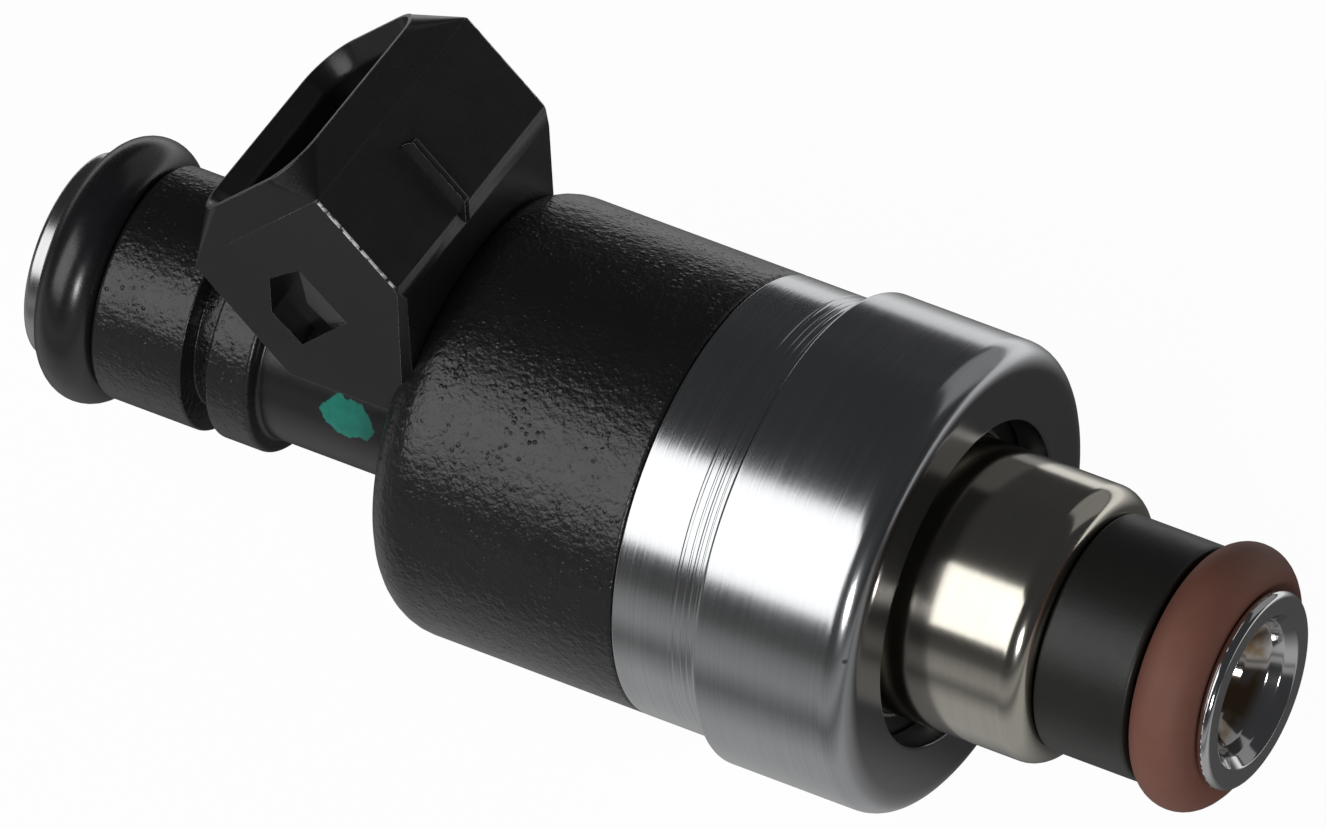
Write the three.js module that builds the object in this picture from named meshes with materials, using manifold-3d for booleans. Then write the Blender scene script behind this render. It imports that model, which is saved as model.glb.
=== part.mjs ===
// Top-feed fuel injector, lying on its side, in millimetres, +Z up.
// +X runs along the injector's axis towards the spray tip, and the connector leans up on the +Z side.
// The origin is on the axis, at the middle of the lower O-ring.
import * as THREE from 'three';
import { mergeVertices } from 'three/addons/utils/BufferGeometryUtils.js';
import Module from 'manifold-3d';

const wasm = await Module();
wasm.setup();

// ---------- driving dimensions ----------
const cordRadius = 3.53 / 2;            // cord of both O-rings
const oRingOuter = 14.6 / 2;
const sealSpacing = 65.5;               // between the middles of the two O-rings
const canRadius = 12.95;
const bodyRadius = 12.1;                // moulding and steel band
const nozzleRadius = 7.61;
const stemRadius = 3.72;                // metal under both O-rings
const neckRadius = 5.4;
const sleeveRadius = 6.43;
const housingOuter = 11.3;              // coil housing inside the moulding and the can
const housingInner = 9.75;
const poleRadius = 4.2;
const poleBore = 1.82;
const armatureRadius = 4.22;
const nozzleBore = 4.3;
const valveBore = 3.05;                 // bore of the nozzle tube's stem
const ballRadius = 1.6;
const valveLift = 0.15;                 // travel of the armature
const airGap = valveLift + 0.1;         // armature to pole piece with the valve shut
const slack = 0.05;                     // between neighbouring pieces
const outerSides = 36;                  // facets round the visible pieces
const innerSides = 20;                  // facets round the hidden ones

// ---------- places along X ----------
const tipFront = 2.57;
const tipFlangeBack = 1.8;
const stemEnd = -1.6;                   // the nozzle tube ends and the spray tip's stem begins
const sleeveFront = -1.85;
const nozzleShoulder = -7.3;
const canFace = -14.75;
const canFloor = -16.65;                // inner side of the can's face
const canBack = -23.8;
const bandBack = -29.0;
const housingTop = -41.2;
const housingEnd = -18.5;
const mouldShoulder = -44.5;
const poleTop = -46.0;                  // the inlet tube meets the pole piece
const neckTop = -54.2;
const clipFlangeTop = -56.8;
const upperSleeveStart = -58.2;
const upperSleeveEnd = -63.7;
const inletFlangeStart = -67.3;
const inletEnd = -68.2;
const armatureTop = -27.15;             // with the valve shut
const poleFace = armatureTop - airGap;
const ballX = -5.35;
const seatTop = ballX + 0.73;

// ---------- connector ----------
const leanAngle = Math.PI / 4;          // the connector's axis leans this far from -X towards +Z
const mouthCentre = new THREE.Vector3(-53.2, 0, 17.0);
const mouthHalf = { across: 4.6, wide: 7.0, corner: 2.5 };
const socketHalf = { across: 3.6, wide: 6.0, corner: 1.5 };
const shellHalfAcross = 5.35;
const shellHalfWidth = 7.75;
const collarDepth = 1.9;
const socketDepth = 9.0;
const bladeWidth = 2.8;
const bladeThick = 0.64;
const bladePitch = 5.4;
const bladeTipDepth = 3.6;              // tips of the blades below the mouth
const bladeBendDepth = 12.4;
const bladeEnd = -38.7;

// ---------- materials ----------
const finish = (color, roughness, metalness) => new THREE.MeshStandardMaterial({ color, roughness, metalness });
const looks = {
  moulding: finish('#1b1c1d', 0.38, 0),
  rubberBlack: finish('#232225', 0.5, 0),
  rubberBrown: finish('#78554b', 0.65, 0),
  rubberInner: finish('#2f3130', 0.6, 0),
  spacer: finish('#2b2d2a', 0.5, 0),
  steel: finish('#a9adb0', 0.3, 1),
  nickel: finish('#c2bcae', 0.22, 1),
  polished: finish('#c8c9cc', 0.1, 1),
  innerSteel: finish('#8d8f92', 0.35, 1),
  brass: finish('#b99a55', 0.3, 1),
  copper: finish('#b06a3a', 0.4, 1),
  bobbin: finish('#5a4a38', 0.5, 0),
  filter: finish('#d8d4c6', 0.5, 0),
};

// ---------- helpers ----------
const injector = new THREE.Group();

function place(name, geometry, material) {
  const mesh = new THREE.Mesh(geometry, material);
  mesh.name = name;
  injector.add(mesh);
}

// A body of revolution about X from [x, radius] points: X rises along the outside and falls along the
// inside. An outline that doesn't start on the axis is closed on itself.
function turned(outline, sides) {
  const points = outline.map(([x, r]) => new THREE.Vector2(r, x));
  if (outline[0][1] > 0) points.push(points[0].clone());
  const lathe = new THREE.LatheGeometry(points, sides);
  return lathe.rotateZ(-Math.PI / 2);   // the lathe's +Y becomes +X
}

// Points on an arc, in [x, radius] form, with angles in degrees from +X.
function arc(x, r, radius, from, to, steps) {
  return Array.from({ length: steps + 1 }, (_, i) => {
    const angle = THREE.MathUtils.degToRad(from + ((to - from) * i) / steps);
    return [x + radius * Math.cos(angle), r + radius * Math.sin(angle)];
  });
}

function tube(x1, x2, outer, inner, sides) {
  return turned([[x1, inner], [x1, outer], [x2, outer], [x2, inner]], sides);
}

function rod(x1, x2, radius, sides) {
  return turned([[x1, 0], [x1, radius], [x2, radius], [x2, 0]], sides);
}

function ring(x, middleRadius, cord, sides, cordSides) {
  return turned(arc(x, middleRadius, cord, 180, -180 + 360 / cordSides, cordSides - 1), sides);
}

// An outline in X and Z, extruded along Y to an equal distance either side of middleY.
function slab(outline, halfWidth, middleY = 0) {
  const shape = new THREE.Shape(outline.map(([x, z]) => new THREE.Vector2(x, z)));
  const geometry = new THREE.ExtrudeGeometry(shape, { depth: 2 * halfWidth, bevelEnabled: false });
  geometry.rotateX(Math.PI / 2);        // the outline's second axis becomes Z
  return geometry.translate(0, middleY + halfWidth, 0);
}

function block(x1, x2, y1, y2, z1, z2) {
  const box = new THREE.BoxGeometry(x2 - x1, y2 - y1, z2 - z1);
  return box.translate((x1 + x2) / 2, (y1 + y2) / 2, (z1 + z2) / 2);
}

function solid(geometry) {
  const bare = new THREE.BufferGeometry();
  bare.setAttribute('position', geometry.attributes.position);
  if (geometry.index) bare.setIndex(geometry.index);
  const merged = mergeVertices(bare, 1e-4);
  const corners = merged.index.array;
  const kept = [];
  for (let i = 0; i < corners.length; i += 3) {
    const [a, b, c] = corners.slice(i, i + 3);
    if (a !== b && b !== c && c !== a) kept.push(a, b, c);
  }
  return new wasm.Manifold(new wasm.Mesh({
    numProp: 3,
    vertProperties: new Float32Array(merged.attributes.position.array),
    triVerts: new Uint32Array(kept),
  }));
}

function geometryOf(manifold) {
  const mesh = manifold.getMesh();
  const geometry = new THREE.BufferGeometry();
  geometry.setAttribute('position', new THREE.BufferAttribute(new Float32Array(mesh.vertProperties), 3));
  geometry.setIndex(new THREE.BufferAttribute(new Uint32Array(mesh.triVerts), 1));
  return geometry;
}

const join = (...geometries) => geometries.map(solid).reduce((all, next) => all.add(next));
const cut = (base, ...geometries) => geometries.map(solid).reduce((all, next) => all.subtract(next), base);

// ---------- connector frame: depth runs from the mouth into the body, across runs away from the axis ----------
const outOfMouth = new THREE.Vector3(-Math.cos(leanAngle), 0, Math.sin(leanAngle));
const acrossMouth = new THREE.Vector3(Math.sin(leanAngle), 0, Math.cos(leanAngle));
const sideways = new THREE.Vector3(0, 1, 0);

function connectorPoint(depth, across) {
  const point = mouthCentre.clone().addScaledVector(outOfMouth, -depth).addScaledVector(acrossMouth, across);
  return [point.x, point.z];
}

function roundedRectangle({ across, wide, corner }) {
  const shape = new THREE.Shape();
  const [a, b] = [across - corner, wide - corner];
  shape.absarc(a, -b, corner, -Math.PI / 2, 0, false);
  shape.absarc(a, b, corner, 0, Math.PI / 2, false);
  shape.absarc(-a, b, corner, Math.PI / 2, Math.PI, false);
  shape.absarc(-a, -b, corner, Math.PI, Math.PI * 1.5, false);
  return shape;
}

// Extrudes a shape drawn across and sideways, starting at a depth and growing out of the mouth.
function leanedPrism(shape, startDepth, options) {
  const geometry = new THREE.ExtrudeGeometry(shape, { curveSegments: 4, bevelEnabled: false, ...options });
  const basis = new THREE.Matrix4().makeBasis(acrossMouth, sideways, outOfMouth);
  basis.setPosition(mouthCentre.clone().addScaledVector(outOfMouth, -startDepth));
  return geometry.applyMatrix4(basis);
}

// Side outline of a terminal, grown by a margin: straight in the socket, then bent to run along X.
function bladeOutline(margin) {
  const half = bladeThick / 2 + margin;
  const mitre = half * Math.tan(leanAngle / 2);
  const bendZ = connectorPoint(bladeBendDepth, 0)[1];
  return [
    connectorPoint(bladeTipDepth - margin, -half),
    connectorPoint(bladeBendDepth + mitre, -half),
    [bladeEnd + margin, bendZ - half],
    [bladeEnd + margin, bendZ + half],
    connectorPoint(bladeBendDepth - mitre, half),
    connectorPoint(bladeTipDepth - margin, half),
  ];
}

const bladeSlots = () => [-1, 1].map((side) => slab(bladeOutline(slack), bladeWidth / 2 + slack, side * bladePitch / 2));

// ---------- the moulding: cylinder, neck, clip flange, upper sleeve and connector in one piece ----------
function makeMoulding() {
  const edge = 3.0;                     // rounding between the big cylinder and its shoulder
  const flangeRadius = 6.3;
  const tubeBore = stemRadius + slack;
  const poleHole = poleRadius + slack;
  const housingHole = housingOuter + slack;
  const sealPocket = { radius: 5.75, end: housingTop - 1.55 };
  const round = turned([
    [upperSleeveEnd, tubeBore], [upperSleeveEnd, sleeveRadius - 0.3], [upperSleeveEnd + 0.3, sleeveRadius],
    [upperSleeveStart, sleeveRadius], [upperSleeveStart, neckRadius - 0.4], [clipFlangeTop, neckRadius - 0.4],
    [clipFlangeTop, flangeRadius], [neckTop - 0.3, flangeRadius], [neckTop, flangeRadius - 0.3],
    [neckTop, neckRadius], [mouldShoulder, neckRadius],
    ...arc(mouldShoulder + edge, bodyRadius - edge, edge, 180, 90, 4),
    [bandBack - slack, bodyRadius], [bandBack - slack, housingHole], [housingTop - slack, housingHole],
    [housingTop - slack, sealPocket.radius], [sealPocket.end, sealPocket.radius], [sealPocket.end, poleHole],
    [poleTop - slack, poleHole], [poleTop - slack, tubeBore],
  ], outerSides);

  const shellBack = -43.2;
  const shellFloor = 5.75;
  const shell = slab([
    connectorPoint(collarDepth, -shellHalfAcross), connectorPoint(collarDepth, shellHalfAcross),
    [shellBack, 14.65], [shellBack, shellFloor], [-51.0, shellFloor],
  ], shellHalfWidth);
  const collarGrowth = shellHalfAcross - mouthHalf.across - 0.01;
  const collar = leanedPrism(roundedRectangle(mouthHalf), collarDepth + 0.2, {
    depth: 0.2, bevelEnabled: true, bevelThickness: collarDepth, bevelSize: collarGrowth, bevelSegments: 1,
  });
  const web = block(-50.6, -44.0, -3.4, 3.4, 3.0, shellFloor + 0.5);
  const ribTop = shellHalfAcross + 0.92;
  const ribStart = collarDepth + 1.6;
  const ribEndDepth = (shellBack - mouthCentre.x) / Math.SQRT1_2 - ribTop;
  const keyRib = slab([
    connectorPoint(ribStart, 5.0), connectorPoint(ribStart, ribTop), connectorPoint(ribEndDepth, ribTop),
    [shellBack, 14.3],
  ], 0.25, -0.95);

  const socket = leanedPrism(roundedRectangle(socketHalf), socketDepth, { depth: socketDepth + 1 });
  const latchPockets = [-1, 1].map((side) => slab([
    connectorPoint(5.15, -2.25), connectorPoint(5.15, 0.75), connectorPoint(8.85, 0.75), connectorPoint(8.85, -2.25),
  ], 0.9, side * shellHalfWidth));
  const tubeRoom = rod(upperSleeveEnd - 1, poleTop, tubeBore, outerSides);
  const poleRoom = rod(poleTop - slack, housingTop, poleHole, outerSides);
  const whole = join(round, shell, collar, web, keyRib);
  const hollowed = cut(whole, tubeRoom, poleRoom, socket, ...latchPockets, ...bladeSlots());
  place('moulded_body', geometryOf(hollowed), looks.moulding);
}

// ---------- fuel inlet: tube, upper seal and strainer ----------
function makeInlet() {
  const flangeRadius = 5.65;
  const strainerBore = 2.75;
  const boreEnd = -54.5;
  const feedBore = 2.0;
  place('inlet_tube', turned([
    [inletEnd, strainerBore + 0.35], [inletEnd, flangeRadius - 0.25], [inletEnd + 0.25, flangeRadius],
    [inletFlangeStart, flangeRadius], [inletFlangeStart, stemRadius], [poleTop - slack, stemRadius],
    [poleTop - slack, feedBore], [boreEnd, feedBore], [boreEnd, strainerBore], [inletEnd + 0.35, strainerBore],
  ], outerSides), looks.nickel);
  place('upper_o_ring', ring(-sealSpacing, oRingOuter - cordRadius, cordRadius, outerSides, 12), looks.rubberBlack);

  const collarEnd = -66.0;
  const capStart = -56.5;
  const ribInner = 2.12;
  const ribOuter = 2.5;
  const collar = tube(-67.6, collarEnd, strainerBore - slack, 2.05, innerSides);
  const cap = rod(capStart, capStart + 0.6, ribOuter, innerSides);
  const ribs = [0, 1, 2, 3].map((i) => {
    const rib = block(collarEnd - 0.3, capStart + 0.3, -0.3, 0.3, ribInner, ribOuter);
    return rib.rotateX((i * Math.PI) / 2);
  });
  place('filter_frame', geometryOf(join(collar, cap, ...ribs)), looks.filter);
  place('filter_screen', tube(collarEnd + slack, capStart - slack, 2.05, 1.85, innerSides), looks.brass);
}

// ---------- solenoid ----------
function makeSolenoid() {
  place('coil_housing', turned([
    [housingTop, housingInner], [housingTop, housingOuter], [bandBack, housingOuter], [bandBack, bodyRadius],
    [canBack, bodyRadius], [canBack, housingOuter], [housingEnd, housingOuter], [housingEnd, housingInner],
  ], outerSides), looks.steel);
  place('pole_piece', tube(poleTop, poleFace, poleRadius, poleBore, innerSides), looks.innerSteel);

  const washerEnd = -40.05;
  const washer = tube(housingTop, washerEnd, housingInner - slack, poleRadius + slack, innerSides);
  const slotHalf = bladePitch / 2 + bladeWidth / 2 + 0.3;
  const washerSlot = block(housingTop - 1, washerEnd + 1, -slotHalf, slotHalf, 7.4, housingInner + 1);
  place('flux_washer', geometryOf(cut(solid(washer), washerSlot)), looks.innerSteel);

  const flangeRadius = 9.6;
  const hubRadius = 5.5;
  const flangeTop = { start: -39.95, end: -38.4 };
  const flangeLow = { start: -26.9, end: -25.55 };
  const bobbin = turned([
    [flangeTop.start, 4.5], [flangeTop.start, flangeRadius], [flangeTop.end, flangeRadius], [flangeTop.end, hubRadius],
    [flangeLow.start, hubRadius], [flangeLow.start, flangeRadius], [flangeLow.end, flangeRadius], [flangeLow.end, 4.5],
  ], innerSides);
  place('coil_bobbin', geometryOf(cut(solid(bobbin), ...bladeSlots())), looks.bobbin);
  place('coil_winding', turned([
    [flangeTop.end + slack, hubRadius + slack], [flangeTop.end + slack, 9.0], [flangeTop.end + 0.5, 9.2],
    [flangeLow.start - 0.5, 9.2], [flangeLow.start - slack, 9.0], [flangeLow.start - slack, hubRadius + slack],
  ], innerSides), looks.copper);

  const bladeNames = { '-1': 'terminal_blade_right', 1: 'terminal_blade_left' };
  for (const side of [-1, 1]) {
    place(bladeNames[side], slab(bladeOutline(0), bladeWidth / 2, side * bladePitch / 2), looks.brass);
  }

  place('lower_pole_ring', turned([
    [-25.5, 6.4], [-25.5, housingInner - slack], [-22.3, housingInner - slack], [-22.3, 4.6], [-24.2, 4.6], [-24.2, 6.4],
  ], innerSides), looks.innerSteel);
  place('upper_coil_seal', ring(-42.0, 4.98, 0.7, innerSides, 8), looks.rubberInner);
  place('lower_coil_seal', ring(-24.85, 5.72, 0.6, innerSides, 8), looks.rubberInner);
}

// ---------- spring and its adjuster ----------
class Helix extends THREE.Curve {
  constructor(x1, x2, radius, turns) {
    super();
    Object.assign(this, { x1, x2, radius, turns });
  }

  getPoint(t) {
    const angle = 2 * Math.PI * this.turns * t;
    const x = this.x1 + (this.x2 - this.x1) * t;
    return new THREE.Vector3(x, this.radius * Math.cos(angle), this.radius * Math.sin(angle));
  }
}

function makeSpring() {
  const adjusterEnd = -36.0;
  place('calibration_tube', tube(-44.0, adjusterEnd, poleBore - slack, 0.9, innerSides), looks.brass);
  const wire = 0.2;
  const turns = 6;
  const stepsPerTurn = 9;
  const section = new THREE.Shape();
  section.absarc(0, 0, wire, 0, 2 * Math.PI, false);
  const path = new Helix(adjusterEnd + slack + wire, springFoot - slack - wire, 1.35, turns);
  place('return_spring', new THREE.ExtrudeGeometry(section, {
    steps: turns * stepsPerTurn, curveSegments: 3, extrudePath: path, bevelEnabled: false,
  }), looks.steel);
}

// ---------- moving pair ----------
const springFoot = armatureTop + 2.1;   // bottom of the spring's pocket in the armature
function makeArmature() {
  const stem = 1.5;
  const stemBore = 0.7;
  const headEnd = -17.4;
  const body = turned([
    [armatureTop, poleBore], [armatureTop, armatureRadius - 0.2], [armatureTop + 0.2, armatureRadius],
    [headEnd, armatureRadius], [headEnd + 1.2, stem], [ballX - ballRadius - slack, stem],
    [ballX - ballRadius - slack, stemBore], [springFoot, stemBore], [springFoot, poleBore],
  ], innerSides);
  const crossHole = new THREE.CylinderGeometry(0.5, 0.5, 4 * stem, 10).rotateX(Math.PI / 2).translate(-11, 0, 0);
  place('armature', geometryOf(cut(solid(body), crossHole)), looks.innerSteel);
  place('valve_ball', turned([
    [ballX - ballRadius, 0], ...arc(ballX, 0, ballRadius, 165, 15, 10), [ballX + ballRadius, 0],
  ], innerSides), looks.polished);
}

// ---------- nozzle end ----------
function makeNozzle() {
  const seatOuter = valveBore - slack;
  const shoulder = 1.3;
  place('lower_can', turned([
    [canBack + slack, housingOuter + slack], [canBack + slack, canRadius - 0.25], [canBack + 0.3, canRadius],
    ...arc(canFace - 1.5, canRadius - 1.5, 1.5, 90, 0, 4),
    [canFace, 8.93], [canFloor, 8.93], [canFloor, housingOuter + slack],
  ], outerSides), looks.steel);
  place('nozzle_tube', turned([
    [-22.2, nozzleBore], [-22.2, 7.9], [housingEnd + 2 * slack, 7.9], [housingEnd + 2 * slack, housingOuter - 0.1],
    [canFloor - 2 * slack, housingOuter - 0.1], [canFloor - 2 * slack, nozzleRadius],
    ...arc(nozzleShoulder - shoulder, nozzleRadius - shoulder, shoulder, 90, 0, 4),
    [nozzleShoulder, stemRadius], [stemEnd - 0.02, stemRadius], [stemEnd - 0.02, valveBore],
    [-9.0, valveBore], [-9.0 - (nozzleBore - valveBore), nozzleBore],
  ], outerSides), looks.nickel);
  place('body_seal_ring', ring(-20.3, 8.85, 0.8, innerSides, 8), looks.rubberInner);
  place('spacer_sleeve', turned([
    [nozzleShoulder + slack, stemRadius + slack], [nozzleShoulder + slack, 6.2], [nozzleShoulder + 0.35, 6.49],
    [sleeveFront - 0.25, 6.49], [sleeveFront, 6.25], [sleeveFront, stemRadius + slack],
  ], outerSides), looks.spacer);
  place('lower_o_ring', ring(0, oRingOuter - cordRadius, cordRadius, outerSides, 12), looks.rubberBrown);

  const guideHole = ballRadius + 0.03;
  const guide = tube(ballX - 0.65, seatTop - slack, seatOuter, guideHole, innerSides);
  const flowHoles = [0, 1, 2, 3].map((i) => {
    const hole = new THREE.CylinderGeometry(0.4, 0.4, 4, 10).rotateZ(Math.PI / 2).translate(ballX, 0, 2.3);
    return hole.rotateX((i * Math.PI) / 2);
  });
  place('ball_guide', geometryOf(cut(solid(guide), ...flowHoles)), looks.innerSteel);

  const contact = ballRadius * Math.SQRT1_2 + 0.042;   // the 45 degree seat stands just clear of the ball
  const coneAt = (x) => contact - (x - (ballX + ballRadius * Math.SQRT1_2));
  const seatBore = 0.45;
  const coneEnd = ballX + ballRadius * Math.SQRT1_2 + contact - seatBore;
  place('valve_seat', turned([
    [seatTop, coneAt(seatTop)], [seatTop, seatOuter], [-1.95, seatOuter], [-1.95, seatBore], [coneEnd, seatBore],
  ], innerSides), looks.polished);
  place('director_plate', tube(-1.9, -1.7, seatOuter, 0.3, innerSides), looks.polished);
  place('spray_tip', turned([
    [stemEnd, 1.6], [stemEnd, stemRadius], [tipFlangeBack, stemRadius], [tipFlangeBack, 5.2],
    [tipFlangeBack + 0.22, 5.44], [tipFront - 0.25, 5.44], [tipFront, 5.15], [tipFront, 4.45],
    [tipFront - 0.25, 4.15], [1.5, 3.15],
  ], outerSides), looks.polished);
}

makeMoulding();
makeInlet();
makeSolenoid();
makeSpring();
makeArmature();
makeNozzle();

export default injector;
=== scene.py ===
"""Looks for a top-feed fuel injector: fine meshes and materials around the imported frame.

The injector lies along X with its spray tip towards +X and its connector leaning up on the +Z side.
Sizes below are in millimetres and become metres when a mesh is made.
"""
import math

import bmesh
import bpy
from mathutils import Matrix, Vector


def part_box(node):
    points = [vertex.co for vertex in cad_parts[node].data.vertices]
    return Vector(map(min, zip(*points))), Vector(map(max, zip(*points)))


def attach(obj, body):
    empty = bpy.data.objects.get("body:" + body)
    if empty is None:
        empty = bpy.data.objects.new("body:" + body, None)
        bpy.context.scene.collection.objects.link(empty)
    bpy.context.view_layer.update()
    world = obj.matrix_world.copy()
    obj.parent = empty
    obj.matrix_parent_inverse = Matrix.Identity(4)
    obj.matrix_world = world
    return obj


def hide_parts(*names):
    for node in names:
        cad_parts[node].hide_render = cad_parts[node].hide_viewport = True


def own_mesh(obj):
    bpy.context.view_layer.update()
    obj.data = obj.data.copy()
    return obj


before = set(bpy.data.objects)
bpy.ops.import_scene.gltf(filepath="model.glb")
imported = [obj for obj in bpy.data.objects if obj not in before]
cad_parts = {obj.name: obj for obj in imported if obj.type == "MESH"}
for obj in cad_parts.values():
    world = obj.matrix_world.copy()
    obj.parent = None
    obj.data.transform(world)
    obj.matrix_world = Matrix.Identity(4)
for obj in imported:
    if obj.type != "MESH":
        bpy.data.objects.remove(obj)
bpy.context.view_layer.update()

MM = 0.001
BODY = "injector_body"


# ---------------------------------------------------------------- sizes from the frame
def span(node):
    """First X, last X and radius of a round CAD node, in millimetres."""
    low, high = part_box(node)
    return low.x / MM, high.x / MM, high.y / MM


MOULD_X1, MOULD_X2, BODY_R = span("moulded_body")
CAN_X1, CAN_X2, CAN_R = span("lower_can")
HOUSING_X1, HOUSING_X2, BAND_R = span("coil_housing")
NOZZLE_X1, NOZZLE_X2, NOZZLE_FLANGE_R = span("nozzle_tube")
SPACER_X1, SPACER_X2, SPACER_R = span("spacer_sleeve")
RING_X1, RING_X2, RING_R = span("lower_o_ring")
TOP_RING_X1, TOP_RING_X2, TOP_RING_R = span("upper_o_ring")
TIP_X1, TIP_X2, TIP_R = span("spray_tip")
INLET_X1, INLET_X2, INLET_R = span("inlet_tube")
PLATE_X1, PLATE_X2, PLATE_R = span("director_plate")
SCREEN_X1, SCREEN_X2, SCREEN_R = span("filter_screen")
FILTER_X1, FILTER_X2, FILTER_R = span("filter_frame")
SPRING_X1, SPRING_X2, SPRING_R = span("return_spring")
FIT = 0.05                        # gap between two pieces that touch
STEM_R = 3.72                     # metal under both O-rings
HOUSING_R = 11.3                  # housing where the moulding and the can go over it
POLE_BORE = 4.25                  # the moulding's bore round the pole piece
POLE_TOP = -46.05                 # where that bore ends
BAND_X1 = MOULD_X2 + FIT
FLOOR_Z = -CAN_R


# ---------------------------------------------------------------- mesh helpers
def new_object(name, bm):
    """Makes a mesh in millimetres into a smooth-shaded object in metres."""
    bmesh.ops.recalc_face_normals(bm, faces=bm.faces)
    mesh = bpy.data.meshes.new(name)
    bm.to_mesh(mesh)
    bm.free()
    mesh.transform(Matrix.Scale(MM, 4))
    mesh.shade_smooth()
    piece = bpy.data.objects.new(name, mesh)
    bpy.context.scene.collection.objects.link(piece)
    return piece


def soften(corners, closed=True):
    """An outline with each corner (x, r, fillet) turned into an arc, with a holding point on either side."""
    hold, step = 0.05, math.radians(11)
    points = []
    count = len(corners)
    for i, (x, r, fillet) in enumerate(corners):
        here = Vector((x, r))
        if not closed and i in (0, count - 1):
            points.append(here)
            continue
        before = Vector(corners[i - 1][:2]) - here
        after = Vector(corners[(i + 1) % count][:2]) - here
        half = before.angle(after) / 2
        reach = fillet / math.tan(half)
        centre = here + (before.normalized() + after.normalized()).normalized() * (fillet / math.sin(half))
        start = here + before.normalized() * reach
        end = here + after.normalized() * reach
        pieces = max(2, math.ceil((math.pi - 2 * half) / step))
        turn = (start - centre).angle_signed(end - centre)
        points.append(start + before.normalized() * min(hold, 0.2 * before.length))
        for k in range(pieces + 1):
            arm = (start - centre).copy()
            arm.rotate(Matrix.Rotation(-turn * k / pieces, 2))
            points.append(centre + arm)
        points.append(end + after.normalized() * min(hold, 0.2 * after.length))
    return [(p.x, p.y) for p in points]


def revolve(name, outline, sides=160, closed=True):
    """Spins an outline of (x, r) points about X. An open outline starts and ends on the axis."""
    bm = bmesh.new()
    rings = []
    for k in range(sides):
        angle = 2 * math.pi * k / sides
        rings.append([bm.verts.new((x, r * math.cos(angle), r * math.sin(angle))) for x, r in outline])
    count = len(outline)
    for k in range(sides):
        here, after = rings[k], rings[(k + 1) % sides]
        for i in range(count if closed else count - 1):
            j = (i + 1) % count
            bm.faces.new((here[i], here[j], after[j], after[i]))
    if not closed:
        bmesh.ops.remove_doubles(bm, verts=bm.verts, dist=1e-6)
    return new_object(name, bm)


def loft(bm, rings):
    """Skins rings of points that all have the same count, and closes both ends."""
    loops = [[bm.verts.new(p) for p in ring] for ring in rings]
    count = len(loops[0])
    for a, b in zip(loops, loops[1:]):
        for i in range(count):
            j = (i + 1) % count
            bm.faces.new((a[i], a[j], b[j], b[i]))
    bm.faces.new(loops[0][::-1])
    bm.faces.new(loops[-1])


def prism(bm, outline, y1, y2):
    """A closed solid from an (x, z) outline between two values of Y."""
    loft(bm, [[(x, y, z) for x, z in outline] for y in (y1, y2)])


def boolean(target, tool, operation):
    """Joins a tool to a piece or cuts it out, and uses the tool up."""
    modifier = target.modifiers.new("join", "BOOLEAN")
    modifier.operation = operation
    modifier.solver = "EXACT"
    modifier.object = tool
    apply_modifiers(target)
    bpy.data.objects.remove(tool, do_unlink=True)


def apply_modifiers(piece):
    graph = bpy.context.evaluated_depsgraph_get()
    mesh = bpy.data.meshes.new_from_object(piece.evaluated_get(graph))
    piece.modifiers.clear()
    old = piece.data
    piece.data = mesh
    mesh.name = piece.name
    bpy.data.meshes.remove(old)


def with_edge_highlights(piece):
    """Gives a part of the moulding its two materials: the plastic, and the pale painted edge highlight in
    second place.
    """
    piece.data.materials.append(MOULDING)
    piece.data.materials.append(EDGE_HIGHLIGHT)
    return piece


def ease_edges(piece, width):
    """Rounds every sharp edge by a small width."""
    bm = bmesh.new()
    bm.from_mesh(piece.data)
    bmesh.ops.remove_doubles(bm, verts=bm.verts, dist=0.004 * MM)
    bmesh.ops.dissolve_limit(bm, angle_limit=math.radians(0.5), verts=bm.verts, edges=bm.edges)
    bm.to_mesh(piece.data)
    bm.free()
    modifier = piece.modifiers.new("ease", "BEVEL")
    modifier.limit_method = "ANGLE"
    modifier.angle_limit = math.radians(35)
    modifier.width = width * MM
    modifier.segments = 2
    # The new rounded faces take the last slot, which on the moulding is the painted edge highlight.
    modifier.material = len(piece.data.materials) - 1
    apply_modifiers(piece)


def sharpen(piece, degrees):
    """Smooth shading that breaks at edges sharper than an angle, with flat faces kept flat."""
    piece.data.shade_smooth()
    piece.data.set_sharp_from_angle(angle=math.radians(degrees))
    modifier = piece.modifiers.new("flat_faces", "WEIGHTED_NORMAL")
    modifier.keep_sharp = True
    modifier.weight = 60
    apply_modifiers(piece)


def finish_piece(piece, material, node):
    """Gives a fixed piece its material and puts it in the place of its CAD node."""
    if not piece.data.materials:
        piece.data.materials.append(material)
    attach(piece, BODY)
    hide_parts(node)


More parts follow.
